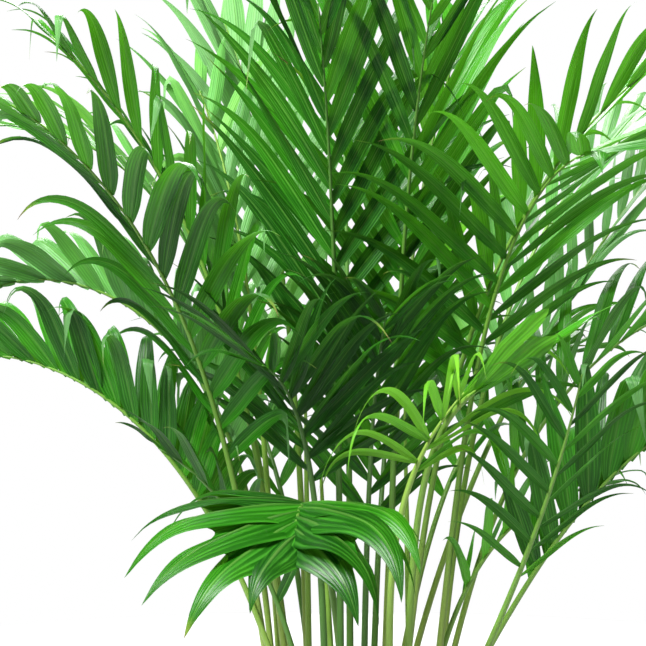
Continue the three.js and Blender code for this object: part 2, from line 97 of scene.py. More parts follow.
# The part's rows, with one more column: how young and bright the frond is, from -1 to 1. Besides age it
# holds painted light: fronds that look backlit are set brighter, fronds in shade darker.
FRONDS = [
    dict(zip(COLUMNS, row))
    for row in [
        (5, 186, 17, 104, 2.7, -18, 850, 0.45, 15, 170, 17, 66, 58, 3.6, 1, -0.2),
        (4, 235, 13, 63, 2.7, -17, 1040, 0.46, 13, 230, 21, 15, 52, 2.4, 1, -0.15),
        (1, 300, 10, 98, 4, -10, 1030, 0.5, 14, 280, 17, 12, 66, 1.1, 1.9, 0.15),
        (6, 277, 5, 68, 3.2, 29, 640, 0.95, 1, 200, 36, 20, 22, 0.3, 1, 0.5),
        (6, 256, 9, 42, 2, 81, 613, 0.78, 4, 220, 13, 10, 80, 3.4, 1, 1.35),
        (6, 312, 30, 30, 1, -31, 690, 0.55, 8, 170, 11, 10, 62, 0.8, 1, 0.1),
        (6, 338, 27, 67, 3, -20, 700, 0.5, 9, 200, 20, 62, 45, 0.8, 1, -0.15),
        (0, 251, 11, 127, 2.5, 17, 660, 0.76, 6, 230, 38, 2, 66, 1.4, 1, -0.35),
        (5, 255, 4, 77, 4, 0, 670, 0.66, 7, 220, 18, 20, 55, 0.6, 1, -0.6),
        (4, 140, 5, 37, 4, -13, 1000, 0.52, 10, 250, 17, 20, 44, 0.7, 1, 0.55),
        (4, 172, 4, 112, 3, 18, 905, 0.52, 11, 170, 17, 54, 50, 2.2, 1, -0.05),
        (3, 160, 8, 88, 3.8, 22, 1060, 0.5, 13, 240, 15, 15, 50, 1.5, 1, 0.55),
        (2, 15, 11, 50, 1.2, 24, 1040, 0.5, 12, 250, 14, 20, 40, 0.8, 1, 0.1),
        (0, 95, 2, 26, 2.5, 0, 1130, 0.5, 12, 280, 17, 18, 48, 0.4, 1, -0.5),
        (5, 262, 2, 36, 2.5, 0, 1060, 0.5, 12, 270, 17, 18, 40, 0.6, 1, -0.6),
        (6, 280, 3, 40, 2.5, 0, 1080, 0.5, 12, 270, 15, 18, 44, 0.9, 1, -0.4),
        (3, 122, 3, 38, 2.5, 0, 1120, 0.5, 10, 280, 24, 18, 36, 0.5, 1, 0.15),
        (2, 62, 4, 42, 2.5, 0, 1120, 0.5, 10, 280, 22, 18, 36, 0.6, 1, 0.4),
        (1, 30, 6, 60, 2.5, 0, 1030, 0.5, 11, 250, 17, 18, 48, 1, 1, 0.3),
        (4, 205, 6, 50, 2.5, 0, 1080, 0.5, 12, 240, 17, 18, 48, 1.2, 1, -0.1),
        (6, 328, 6, 60, 2.5, 0, 1080, 0.5, 12, 250, 17, 18, 48, 1.2, 1, 0.1),
        (2, 80, 12, 92, 2.5, 0, 800, 0.5, 9, 220, 17, 30, 48, 1.4, 1, -0.5),
        (3, 118, 13, 98, 2.5, 0, 760, 0.5, 8, 210, 17, 35, 48, 1.6, 1, -0.5),
        (2, 42, 13, 96, 2.5, 0, 780, 0.5, 8, 210, 17, 35, 48, 1.6, 1, 0.0),
        (1, 8, 12, 84, 2.5, 0, 840, 0.5, 9, 220, 17, 35, 48, 1.4, 1, 0.1),
        (1, 325, 12, 84, 2.5, 0, 540, 0.5, 6, 180, 14, 25, 48, 1.4, 1, 0.2),
        (0, 275, 6, 60, 2.5, 0, 740, 0.5, 8, 210, 17, 20, 48, 1, 1, -0.7),
        (5, 205, 12, 60, 2.5, 0, 560, 0.5, 6, 160, 13, 25, 48, 1, 1, -0.5),
    ]
]
SPEARS = [(5, 160, 3, 560), (3, 250, 2, 640), (1, 110, 3, 590)]  # stem, facing, lean, length
# The part turns a leaflet or a stalk a little where it would run into another, in this order.
TURNS = [
    (0, 0, 1), (8, 0, 1), (-8, 0, 1), (0, 7, 1), (0, -7, 1), (16, 0, 1), (-16, 0, 1), (8, 7, 1),
    (-8, -7, 1), (8, -7, 1), (-8, 7, 1), (24, 0, 1), (-24, 0, 1), (0, 14, 1), (0, -14, 1),
    (0, 0, 0.75), (16, 0, 0.75), (-16, 0, 0.75), (30, 0, 0.75), (-30, 0, 0.75), (0, 12, 0.75),
    (0, -12, 0.75), (0, 0, 0.5), (20, 0, 0.5), (-20, 0, 0.5),
]
STALK_TURNS = [
    (facing, rise)
    for rise in (0, 1, -1, 2, -2)
    for facing in (0, 3, -3, 6, -6, 9, -9, 12, -12, 15, -15)
]

BLADE_STATIONS = 22
BLADE_COLUMNS = 9
FOUND_MM = 0.3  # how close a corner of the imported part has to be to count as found


def unit(v):
    return v / max(np.linalg.norm(v), 1e-12)


def stream(seed):
    """The same repeatable numbers between 0 and 1 as in the part."""
    x = (seed * 2654435761) & 0xFFFFFFFF
    while True:
        x = (x * 1664525 + 1013904223) & 0xFFFFFFFF
        yield x / 4294967296


def stem_centre(stem):
    """The middle of a stem; stem 0 stands in the middle of the pot."""
    if stem == 0:
        return np.zeros(3)
    a = math.radians(STEM_ANGLES[stem - 1])
    return np.array([STEM_CIRCLE * math.cos(a), STEM_CIRCLE * math.sin(a), 0.0])


taken = set()


def seat_of(stem, facing):
    """The free seat on a stem's top nearest to the way a frond faces."""
    def off(seat):
        return abs((seat * 360 / SEATS - facing + 540) % 360 - 180)

    free = [seat for seat in range(SEATS) if (stem, seat) not in taken]
    point = stem_centre(stem) + UP * (STEM_TOP + GAP)
    if not free:
        return point
    seat = min(free, key=off)
    taken.add((stem, seat))
    a = math.radians(seat * 360 / SEATS)
    return point + SEAT_CIRCLE * np.array([math.cos(a), math.sin(a), 0.0])


def grow_spine(foot, plan, turn):
    """Points and directions of a stalk that leans from its rise to its fall, and curls."""
    s = (np.arange(SPINE_STEPS) + 0.5) / SPINE_STEPS
    rise = plan["rise"] + turn[1]
    lean = np.radians(rise + (plan["fall"] - rise) * s ** plan["power"])
    way = np.radians(plan["facing"] + turn[0] + plan["curl"] * s * s)
    d = np.stack([np.sin(lean) * np.cos(way), np.sin(lean) * np.sin(way), np.cos(lean)], 1)
    steps = np.cumsum(d * plan["length"] / SPINE_STEPS, 0)
    return np.vstack([foot, foot + steps]), d


def frame_at(spine, s):
    """The place, direction, side and upper side of a spine at a share of its length."""
    points, directions = spine
    k = min(SPINE_STEPS - 1, int(s * SPINE_STEPS))
    place = points[k] + (points[k + 1] - points[k]) * (s * SPINE_STEPS - k)
    along = directions[k]
    across = unit(np.cross(along, UP))
    return place, along, across, np.cross(across, along)


def station_share(k):
    """Where the part's sections of a stalk stand, closer together near its end."""
    return 1 - (1 - k / STALK_STATIONS) ** STATION_CROWDING


def root_at(spine, s):
    """Where a leaflet leaves the part's stalk, which is straight between its sections."""
    k = 0
    while k + 2 <= STALK_STATIONS and station_share(k + 1) < s:
        k += 1
    a, b = station_share(k), station_share(k + 1)
    pa, pb = frame_at(spine, a)[0], frame_at(spine, b)[0]
    return pa + (pb - pa) * (s - a) / (b - a)


def grow_leaflet(spine, plan, pair, side, seed, turn):
    """One leaflet's midline and cross directions, by the part's own rules."""
    source = stream(seed)
    r = [next(source) for _ in range(5)]
    u = (pair + 0.5 + SIDE_OFFSET * side) / plan["pairs"]
    s = plan["blade"] + (1 - plan["blade"]) * min(1, u) * LAST_LEAF_PLACE
    place, t, across, upper = frame_at(spine, s)
    wave = math.sin(math.pi * min(1, u * LEAF_LENGTH_RUN + LEAF_LENGTH_START))
    past_end = max(0, (u - END_PLACE) / (1 - END_PLACE))
    size = LEAF_LEAST_LENGTH + LEAF_MORE_LENGTH * wave**LEAF_LENGTH_POWER
    size *= 1 - END_SHORTENING * past_end
    length = plan["leaf"] * size * (1 + LENGTH_SPREAD * (r[0] - 0.5)) * turn[2]
    end = 1 + (plan["end"] - 1) * past_end
    swell = math.sin(math.pi * (LEAF_WIDTH_START + LEAF_WIDTH_RUN * u))
    swell = LEAF_LEAST_WIDTH + LEAF_MORE_WIDTH * swell
    width = plan["width"] * swell * (1 + WIDTH_SPREAD * (r[1] - 0.5)) * end
    sweep = plan["sweep"] * (1 - SWEEP_LOSS * u) + (r[2] - 0.5) * SWEEP_SPREAD + turn[1]
    sweep = math.radians(sweep)
    lift = math.radians(plan["lift"] + (r[3] - 0.5) * LIFT_SPREAD + turn[0])
    out = across * side * math.cos(lift) + upper * math.sin(lift)
    normal = upper * math.cos(lift) - across * side * math.sin(lift)
    along = t * math.cos(sweep) + out * math.sin(sweep)
    root = root_at(spine, s)
    points, widths = [root], []
    for k in range(LEAF_STEPS):
        widths.append(unit(np.cross(along, normal)))
        points.append(points[-1] + along * length / LEAF_STEPS)
        share = (k + 0.5) / LEAF_STEPS
        sag = plan["sag"] * (1 + SAG_SPREAD * (r[4] - 0.5)) * share * share * DROOP / LEAF_STEPS
        along = unit(along - UP * sag)
        normal = unit(normal - along * np.dot(normal, along))
    widths.append(unit(np.cross(along, normal)))
    return {
        "points": np.array(points), "across": np.array(widths), "width": width,
        "u": u, "s": s, "shift": place - root, "length": length,
    }


class Corners:
    """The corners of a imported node, to find which turn the part took."""

    def __init__(self, node):
        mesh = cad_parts[node].data
        self.tree = KDTree(len(mesh.vertices))
        for v in mesh.vertices:
            self.tree.insert(v.co / MM, v.index)
        self.tree.balance()

    def off(self, point):
        return self.tree.find(Vector(point))[2]


def tapered(s, blade, radii):
    """A stalk's radius at shares of its length: straight from foot to neck, and from neck to tip."""
    foot, neck, tip = radii
    below, above = s / blade, (s - blade) / (1 - blade)
    return np.where(s < blade, foot + (neck - foot) * below, neck + (tip - neck) * above)


def spine_as_built(foot, plan, corners):
    """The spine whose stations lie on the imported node's own corners."""
    radii = (STALK_BASE_RADIUS, STALK_NECK_RADIUS, STALK_TIP_RADIUS)
    best, found = None, -1
    for turn in STALK_TURNS:
        spine = grow_spine(foot, plan, turn)
        count = 0
        for k in range(1, STALK_STATIONS + 1):
            s = station_share(k)
            place, _, across, upper = frame_at(spine, s)
            radius = tapered(s, plan["blade"], radii)
            count += sum(
                corners.off(place + radius * arm) < FOUND_MM
                for arm in (across, upper, -across, -upper)
            )
        if count > found:
            best, found = spine, count
        if count >= 4 * (STALK_STATIONS - 1):
            break
    return best


def smooth(rows, shares):
    """Rows of an evenly spaced line, read at other shares of it with a Catmull-Rom curve."""
    n = len(rows) - 1
    x = np.clip(shares, 0, 1) * n
    k = np.minimum(x.astype(int), n - 1)
    f = (x - k)[:, None]
    a, b = rows[np.maximum(k - 1, 0)], rows[k]
    c, d = rows[k + 1], rows[np.minimum(k + 2, n)]
    return 0.5 * (
        2 * b + (c - a) * f + (2 * a - 5 * b + 4 * c - d) * f**2 + (3 * b - a - 3 * c + d) * f**3
    )


class Build:
    """Gathers patches of a mesh with its point attributes, then makes one object of them."""

    KEYS = ("along", "across", "tone", "young", "dry", "pale")

    def __init__(self):
        self.points, self.faces, self.kinds, self.values, self.count = [], [], [], [], 0

    def patch(self, grid, kind, closed=False, **values):
        """A grid of points, rows by columns. closed joins the last column to the first."""
        rows, columns = grid.shape[:2]
        index = np.arange(rows * columns).reshape(rows, columns) + self.count
        if closed:
            index = np.hstack([index, index[:, :1]])
        a, b = index[:-1, :-1], index[:-1, 1:]
        c, d = index[1:, 1:], index[1:, :-1]
        quads = np.stack([a, b, c, d], -1).reshape(-1, 4)
        self.points.append(grid.reshape(-1, 3))
        self.faces.append(quads)
        self.kinds.append(np.full(len(quads), kind))
        table = np.zeros((rows * columns, len(self.KEYS)))
        for i, key in enumerate(self.KEYS):
            table[:, i] = np.broadcast_to(values.get(key, 0.0), (rows, columns)).reshape(-1)
        self.values.append(table)
        self.count += rows * columns

    def make(self, name, materials):
        points = np.vstack(self.points) * MM
        faces = np.vstack(self.faces)
        mesh = bpy.data.meshes.new(name)
        mesh.vertices.add(len(points))
        mesh.vertices.foreach_set("co", points.ravel())
        mesh.loops.add(faces.size)
        mesh.loops.foreach_set("vertex_index", faces.ravel().astype(np.int32))
        mesh.polygons.add(len(faces))
        mesh.polygons.foreach_set("loop_start", np.arange(0, faces.size, 4, dtype=np.int32))
        mesh.polygons.foreach_set("material_index", np.concatenate(self.kinds).astype(np.int32))
        mesh.polygons.foreach_set("use_smooth", np.ones(len(faces), dtype=bool))
        table = np.vstack(self.values)
        for i, key in enumerate(self.KEYS):
            attribute = mesh.attributes.new(key, "FLOAT", "POINT")
            attribute.data.foreach_set("value", table[:, i].astype(np.float32))
        mesh.update()
        mesh.validate()
        for material in materials:
            mesh.materials.append(material)
        piece = bpy.data.objects.new(name, mesh)
        bpy.context.scene.collection.objects.link(piece)
        return piece


# ---------------------------------------------------------------- materials


class Nodes:
    """Short ways to add and join shader nodes."""

    def __init__(self, name):
        self.material = bpy.data.materials.new(name)
        self.material.use_nodes = True
        self.tree = self.material.node_tree
        self.tree.nodes.clear()
        self.out = self.add("ShaderNodeOutputMaterial")

    def add(self, kind, **settings):
        node = self.tree.nodes.new(kind)
        for key, value in settings.items():
            setattr(node, key, value)
        return node

    def put(self, socket, value):
        if isinstance(value, bpy.types.NodeSocket):
            self.tree.links.new(value, socket)
        elif isinstance(value, tuple) and len(value) == 3 and socket.type == "RGBA":
            socket.default_value = (*value, 1.0)
        else:
            socket.default_value = value

    def value(self, key):
        return self.add("ShaderNodeAttribute", attribute_name=key).outputs["Fac"]

    def math(self, operation, *inputs, clamp=False):
        node = self.add("ShaderNodeMath", operation=operation, use_clamp=clamp)
        for socket, value in zip(node.inputs, inputs):
            self.put(socket, value)
        return node.outputs[0]

    def span(self, value, low, high, to_low=0.0, to_high=1.0):
        """A smooth step from one value to another as the input goes from low to high."""
        node = self.add("ShaderNodeMapRange", interpolation_type="SMOOTHSTEP")
        for key, item in zip((0, 1, 2, 3, 4), (value, low, high, to_low, to_high)):
            self.put(node.inputs[key], item)
        return node.outputs[0]

    def mix(self, share, a, b, blend="MIX"):
        node = self.add("ShaderNodeMix", data_type="RGBA", blend_type=blend, clamp_factor=True)
        self.put(node.inputs[0], share)
        self.put(node.inputs[6], a)
        self.put(node.inputs[7], b)
        return node.outputs[2]

    def noise(self, vector, scale, detail=2.0, roughness=0.5):
        node = self.add("ShaderNodeTexNoise")
        if vector is not None:
            self.put(node.inputs["Vector"], vector)
        self.put(node.inputs["Scale"], scale)
        self.put(node.inputs["Detail"], detail)
        self.put(node.inputs["Roughness"], roughness)
        return node.outputs["Fac"]

    def vector(self, x, y, z):
        node = self.add("ShaderNodeCombineXYZ")
        for socket, value in zip(node.inputs, (x, y, z)):
            self.put(socket, value)
        return node.outputs[0]

    def stretched(self, across, wide, along, long, seed):
        """A place on a blade or stalk, drawn out along it, and different for each seed."""
        x, y = self.math("MULTIPLY", across, wide), self.math("MULTIPLY", along, long)
        return self.vector(x, y, seed)

    def bump(self, height, strength, distance):
        node = self.add("ShaderNodeBump")
        self.put(node.inputs["Strength"], strength)
        self.put(node.inputs["Distance"], distance)
        self.put(node.inputs["Height"], height)
        return node.outputs[0]

    def surface(self, color, roughness, normal=None, **constants):
        shader = self.add("ShaderNodeBsdfPrincipled")
        self.put(shader.inputs["Base Color"], color)
        self.put(shader.inputs["Roughness"], roughness)
        if normal is not None:
            self.put(shader.inputs["Normal"], normal)
        for key, value in constants.items():
            self.put(shader.inputs[key.replace("_", " ")], value)
        return shader.outputs[0]

    def finish(self, shader):
        self.tree.links.new(shader, self.out.inputs["Surface"])
        return self.material


# Leaf colours, from old to young. The darkest also serves as painted shade, the brightest as painted
# backlight.
OLD_AND_SHADED_GREEN = (0.004, 0.046, 0.002)
GROWN_GREEN = (0.013, 0.118, 0.003)
FRESH_GREEN = (0.042, 0.260, 0.006)
YOUNG_AND_BACKLIT_GREEN = (0.190, 0.480, 0.030)
PAINTED_BACKLIGHT_GREEN = (0.250, 0.480, 0.210)  # painted backlight: the pale minty green of fronds that look over-exposed against the light
GROOVE_SHADE = (0.003, 0.036, 0.002)
VEIN_AND_HIGHLIGHT = (0.090, 0.400, 0.035)
MIDRIB = (0.150, 0.320, 0.060)
YELLOWED = (0.200, 0.260, 0.040)
WITHERED = (0.150, 0.115, 0.050)
SHINES_THROUGH = (0.200, 0.740, 0.015)
# the painted backlight's colour where light comes through
PAINTED_BACKLIGHT_THROUGH = (0.260, 0.640, 0.190)
WITHERED_THROUGH = (0.150, 0.120, 0.045)
RIBS = 24.0  # rib waves over half a blade, in radians
SHARE_THROUGH = 0.25  # how much of the light a leaf lets through


def leaf_age_and_light(n, young, tone, streaks, patches):
    """0 for the oldest and darkest green, 1 for the youngest and brightest; besides age it carries
    painted shade on dark fronds and painted backlight on bright ones.
    """
    age_and_light = n.math("ADD", n.math("MULTIPLY", young, 0.45), 0.38)
    for value, reach in ((tone, 0.50), (streaks, 0.42)):
        age_and_light = n.math("ADD", age_and_light, n.math("MULTIPLY", n.math("SUBTRACT", value, 0.5), reach))
    last = n.math("MULTIPLY", n.math("SUBTRACT", patches, 0.5), 0.25)
    return n.math("ADD", age_and_light, last, clamp=True)


def leaf_material():
    n = Nodes("palm_leaf")
    along, across = n.value("along"), n.value("across")
    tone, young, dry, pale = (n.value(k) for k in ("tone", "young", "dry", "pale"))
    seed = n.math("MULTIPLY", tone, 37.0)
    # fine ribs and soft streaks that run the length of the blade
    streaks = n.noise(n.stretched(across, 5.0, along, 1.6, seed), 1.6, 4.0, 0.65)
    waves = n.math("ADD", n.math("MULTIPLY", across, RIBS), n.math("MULTIPLY", streaks, 5.0))
    rib = n.math("ADD", n.math("MULTIPLY", n.math("SINE", waves), 0.5), 0.5)
    patches = n.noise(n.stretched(across, 0.8, along, 3.5, seed), 1.2, 3.0)
    age_and_light = leaf_age_and_light(n, young, tone, streaks, patches)
    color = n.mix(n.span(age_and_light, 0.0, 0.4), OLD_AND_SHADED_GREEN, GROWN_GREEN)
    color = n.mix(n.span(age_and_light, 0.35, 0.75), color, FRESH_GREEN)
    color = n.mix(n.span(age_and_light, 0.7, 1.0), color, YOUNG_AND_BACKLIT_GREEN)
    # painted backlight: pale fronds and hanging ends turn minty green
    color = n.mix(pale, color, PAINTED_BACKLIGHT_GREEN)
    # painted shade: darker grooves between the ribs; pale lines along them, partly veins and partly
    # painted highlight; a pale midrib
    color = n.mix(n.math("MULTIPLY", rib, 0.38), color, GROOVE_SHADE)
    veins_and_highlights = n.math("MULTIPLY", n.span(rib, 0.90, 0.10, 0.0, 1.0), n.span(streaks, 0.35, 0.65))
    color = n.mix(n.math("MULTIPLY", veins_and_highlights, 0.26), color, VEIN_AND_HIGHLIGHT)
    midrib = n.span(n.math("ABSOLUTE", across), 0.02, 0.10, 1.0, 0.0)
    color = n.mix(n.math("MULTIPLY", midrib, 0.30), color, MIDRIB)
    # dry tips and edges
    ragged = n.math("ADD", along, n.math("MULTIPLY", n.math("SUBTRACT", patches, 0.5), 0.12))
    past_dry = n.math("SUBTRACT", ragged, dry)
    withered = n.span(past_dry, 0.0, 0.05)
    yellowing = n.span(past_dry, -0.10, 0.02)
    color = n.mix(n.math("MULTIPLY", yellowing, 0.7), color, YELLOWED)
    color = n.mix(withered, color, WITHERED)
    roughness = n.math("ADD", n.math("MULTIPLY", streaks, 0.3), 0.2)
    height = n.math("ADD", n.math("MULTIPLY", rib, 0.7), n.math("MULTIPLY", streaks, 0.6))
    height = n.math("SUBTRACT", height, n.math("MULTIPLY", midrib, 0.8))
    normal = n.bump(height, 0.55, 0.0006)
    front = n.surface(color, roughness, normal, Specular_IOR_Level=0.2)
    # young leaves let more light through than old ones, and so do the fronds brightened as painted
    # backlight
    share = n.math("ADD", n.math("MULTIPLY", age_and_light, 0.55), 0.12)
    glow = n.mix(share, color, SHINES_THROUGH)
    # the painted backlight also tints the light that comes through
    glow = n.mix(n.math("MULTIPLY", pale, 0.8), glow, PAINTED_BACKLIGHT_THROUGH)
    glow = n.mix(withered, glow, WITHERED_THROUGH)
    through = n.add("ShaderNodeBsdfTranslucent")
    n.put(through.inputs["Color"], glow)
    n.put(through.inputs["Normal"], normal)
    both = n.add("ShaderNodeMixShader")
    both.inputs[0].default_value = SHARE_THROUGH
    n.tree.links.new(front, both.inputs[1])
    n.tree.links.new(through.outputs[0], both.inputs[2])
    return n.finish(both.outputs[0])


STALK_FOOT = (0.240, 0.300, 0.060)
STALK_GREEN = (0.120, 0.270, 0.030)
STALK_YOUNG_AND_LIT = (0.250, 0.420, 0.060)
STALK_OLD_AND_SHADED = (0.045, 0.140, 0.018)
STALK_LINE = (0.060, 0.120, 0.022)
STALK_BROWN = (0.130, 0.085, 0.040)


def stalk_material():
    n = Nodes("palm_stalk")
    along, across, tone, young = (n.value(k) for k in ("along", "across", "tone", "young"))
    seed = n.math("MULTIPLY", tone, 23.0)
    lines = n.noise(n.stretched(across, 3.0, along, 5.0, seed), 3.0, 4.0, 0.6)
    color = n.mix(n.span(along, 0.0, 0.55), STALK_FOOT, STALK_GREEN)
    # the stalk colour follows the frond's age, which also holds painted shade and backlight
    color = n.mix(n.span(young, 0.2, 1.0), color, STALK_YOUNG_AND_LIT)
    color = n.mix(n.span(young, -0.1, -0.6), color, STALK_OLD_AND_SHADED)
    color = n.mix(n.math("MULTIPLY", lines, 0.5), color, STALK_LINE)
    ragged = n.math("ADD", along, n.math("MULTIPLY", lines, 0.04))
    foot = n.span(ragged, 0.02, 0.10, 1.0, 0.0)
    color = n.mix(n.math("MULTIPLY", foot, 0.75), color, STALK_BROWN)
    normal = n.bump(lines, 0.35, 0.0008)
    return n.finish(n.surface(color, 0.42, normal, Specular_IOR_Level=0.28))


FIBRE_DARK = (0.050, 0.030, 0.014)
FIBRE_LIGHT = (0.230, 0.150, 0.070)
SHEATH_GREEN = (0.110, 0.150, 0.040)


def sheath_material():
    n = Nodes("palm_sheath")
    along, across, tone = n.value("along"), n.value("across"), n.value("tone")
    place = n.vector(n.math("MULTIPLY", across, 14.0), along, n.math("MULTIPLY", tone, 9.0))
    fibres = n.noise(place, 3.0, 5.0, 0.7)
    color = n.mix(fibres, FIBRE_DARK, FIBRE_LIGHT)
    color = n.mix(n.math("MULTIPLY", n.span(along, 0.5, 1.0), 0.55), color, SHEATH_GREEN)
    return n.finish(n.surface(color, 0.75, n.bump(fibres, 0.8, 0.002)))


SOIL_DARK = (0.012, 0.008, 0.005)
SOIL_BROWN = (0.075, 0.047, 0.028)
SOIL_GRAIN = (0.150, 0.105, 0.065)
BARK = (0.120, 0.066, 0.034)


def soil_material():
    n = Nodes("palm_soil")
    place = n.add("ShaderNodeTexCoord").outputs["Object"]
    coarse, fine = n.noise(place, 60.0, 5.0, 0.7), n.noise(place, 420.0, 4.0, 0.7)
    color = n.mix(coarse, SOIL_DARK, SOIL_BROWN)
    color = n.mix(n.span(fine, 0.60, 0.72), color, SOIL_GRAIN)
    color = n.mix(n.math("MULTIPLY", n.value("tone"), 0.7), color, BARK)
    height = n.math("ADD", coarse, n.math("MULTIPLY", fine, 0.5))
    return n.finish(n.surface(color, 0.92, n.bump(height, 1.0, 0.004)))


CLAY_DARK = (0.340, 0.125, 0.060)
CLAY_LIGHT = (0.520, 0.220, 0.115)
CLAY_LIME = (0.640, 0.470, 0.360)
CLAY_GRAIN = (0.200, 0.070, 0.035)


def pot_material():
    n = Nodes("fired_clay")
    place = n.add("ShaderNodeTexCoord").outputs["Object"]
    clouds, grain = n.noise(place, 9.0, 4.0, 0.6), n.noise(place, 900.0, 3.0, 0.6)
    lime = n.noise(place, 22.0, 6.0, 0.75)
    color = n.mix(clouds, CLAY_DARK, CLAY_LIGHT)
    color = n.mix(n.math("MULTIPLY", n.span(lime, 0.58, 0.80), 0.30), color, CLAY_LIME)
    color = n.mix(n.math("MULTIPLY", n.span(grain, 0.55, 0.75), 0.25), color, CLAY_GRAIN)
    roughness = n.math("ADD", n.math("MULTIPLY", clouds, 0.15), 0.72)
    return n.finish(n.surface(color, roughness, n.bump(grain, 0.35, 0.0008)))


FLOOR_GREYS = ((0.56, 0.56, 0.56), (0.60, 0.60, 0.60))


def floor_material():
    n = Nodes("pale_floor")
    place = n.add("ShaderNodeTexCoord").outputs["Object"]
    color = n.mix(n.noise(place, 2.0, 3.0), *FLOOR_GREYS)
    return n.finish(n.surface(color, 0.85))


LEAF, STALK = leaf_material(), stalk_material()
SHEATH, SOIL, CLAY = sheath_material(), soil_material(), pot_material()

# ---------------------------------------------------------------- blades

# How the blades of single fronds differ from the usual ones.
HOOK = 0.5  # how far the blades' ends droop
HOOKS = {
    "frond_01": 0.3, "frond_02": 0.3, "frond_03": 0.1, "frond_05": 0.9, "frond_08": 1.0,
    "frond_11": 0.5,
}
KINK = 0.08  # share of the blades with a kink, past which they hang
KINKS = {
    "frond_01": 0.95, "frond_02": 0.12, "frond_03": 0.0, "frond_07": 0.4, "frond_08": 0.0,
    "frond_11": 0.7,
}
WIDE = 1.12  # width, as a share of the part's
WIDER = {
    "frond_01": 1.4, "frond_02": 1.1, "frond_03": 1.0, "frond_05": 0.8, "frond_06": 1.0,
    "frond_07": 1.4, "frond_08": 1.7, "frond_09": 0.85, "frond_11": 1.4, "frond_27": 0.9,
}
PALE = {  # fronds with painted backlight, a pale minty green, and how strong it is
    "frond_10": 0.35, "frond_11": 0.25, "frond_12": 0.2, "frond_13": 0.35, "frond_17": 0.6,
    "frond_19": 0.3,
}
STRANDS = {  # blades already split in narrow strands, and how far each leans
    "frond_05": (-0.16, 0.14), "frond_09": (-0.09, 0.07), "frond_27": (-0.08, 0.08),
}
FANS = ("frond_08",)  # their blades are joined near the root

STATION_POWER = 0.92  # a blade's stations stand a little closer at its tip
LEAST_HALF_WIDTH = 0.12
ROOT_WIDTH = 0.34  # share of the width at the root, and where the full width is reached
ROOT_RUN = 0.22
TAPER_PLACE = 0.4  # where the taper to the tip starts
TAPER_POWER = 1.5
TIP_POINT = 0.55  # how much of the taper is drawn out to a fine point
FAN_ROOT_WIDTH = 0.4
FAN_ROOT_RUN = 0.15
FAN_TAPER_PLACE = 0.3
FAN_TAPER_POWER = 0.9


def fan_half_width(width, t):
    root = FAN_ROOT_WIDTH + (1 - FAN_ROOT_WIDTH) * np.minimum(1, t / FAN_ROOT_RUN)
    x = np.clip((t - FAN_TAPER_PLACE) / (1 - FAN_TAPER_PLACE), 0, 1)
    return 0.5 * width * root * (1 - x**FAN_TAPER_POWER)


def half_width(width, t):
    root = ROOT_WIDTH + (1 - ROOT_WIDTH) * np.sin(0.5 * math.pi * np.minimum(1, t / ROOT_RUN))
    x = np.clip((t - TAPER_PLACE) / (1 - TAPER_PLACE), 0, 1)
    drawn_out, blunt = 1 - x * x * (3 - 2 * x), 1 - x**TAPER_POWER
    taper = TIP_POINT * drawn_out + (1 - TIP_POINT) * blunt
    return 0.5 * width * root * np.maximum(taper, 0.0)


HOOK_PLACE = 0.45  # share of a blade's length where its end starts to hang
HOOK_POWER = 1.5
KINK_RUN = 0.13  # share of its length over which a kinked blade turns down
KINK_STIFFNESS = 0.1  # how much of its own way a blade keeps past the kink


def hooked(middle, t, amount, kink):
    """The same line bent downwards, keeping its length. Past kink it hangs almost straight down."""
    steps = np.diff(middle, axis=0)
    lengths = np.linalg.norm(steps, axis=1, keepdims=True)
    place = 0.5 * (t[1:] + t[:-1])
    late = np.clip((place - HOOK_PLACE) / (1 - HOOK_PLACE), 0, 1) ** HOOK_POWER
    steps = steps / lengths - UP * (amount * late)[:, None]
    hang = np.clip((place - kink) / KINK_RUN, 0, 1)[:, None]
    steps = steps * (1 - (1 - KINK_STIFFNESS) * hang) - UP * hang
    steps *= lengths / np.linalg.norm(steps, axis=1, keepdims=True)
    return np.vstack([middle[:1], middle[0] + np.cumsum(steps, 0)])


def squared(middle, across):
    """Cross directions made square to a midline, and the normals of the blade along it."""
    along = np.gradient(middle, axis=0)
    along /= np.linalg.norm(along, axis=1, keepdims=True)
    across = across - along * np.sum(across * along, 1, keepdims=True)
    across /= np.linalg.norm(across, axis=1, keepdims=True)
    return across, np.cross(across, along)


KINK_PLACES = (0.58, 0.8)
NO_KINK = 2
HOOK_SPREAD = (2.0, 0.5)  # of a gamma distribution with a mean of 1
SIDEWAYS = 0.07  # how far a tip wanders aside, as a share of the length
TWIST_SPREAD = 28  # degrees
TURNED_SHARE = 0.18  # share of the blades turned on edge, and by how many degrees
TURNED = 60
TWIST_POWER = 1.3
RIPPLE = 0.06  # a small back and forth in the twist, in radians
RIPPLES = 9
PHASES = 6
# Heights across a blade, as shares of its half width.
FOLD_AT_ROOT = 0.42
FOLD_LOSS = 0.26
FOLD_LEVEL = 0.45  # how far out the folded blade lies level with its midline
PLEAT = 0.03
PLEATS = 3
EDGE_WAVES = (0.07, 0.05)  # of both edges together, and of one against the other
WAVES = (9, 15)  # how fast the edges wave along a blade
SOUND_SHARE = 0.6  # share of the blades without a dry tip
NO_DRY = 1.2
DRY_TIP = 0.035
DRY_END_SHARE = 0.03  # share of the blades with a longer dry end
DRY_ENDS = (0.85, 0.95)
YOUNG_SPREAD = 0.12
HANGING_PALE = 0.45  # how much paler the hanging end of a kinked blade is: painted backlight and sheen
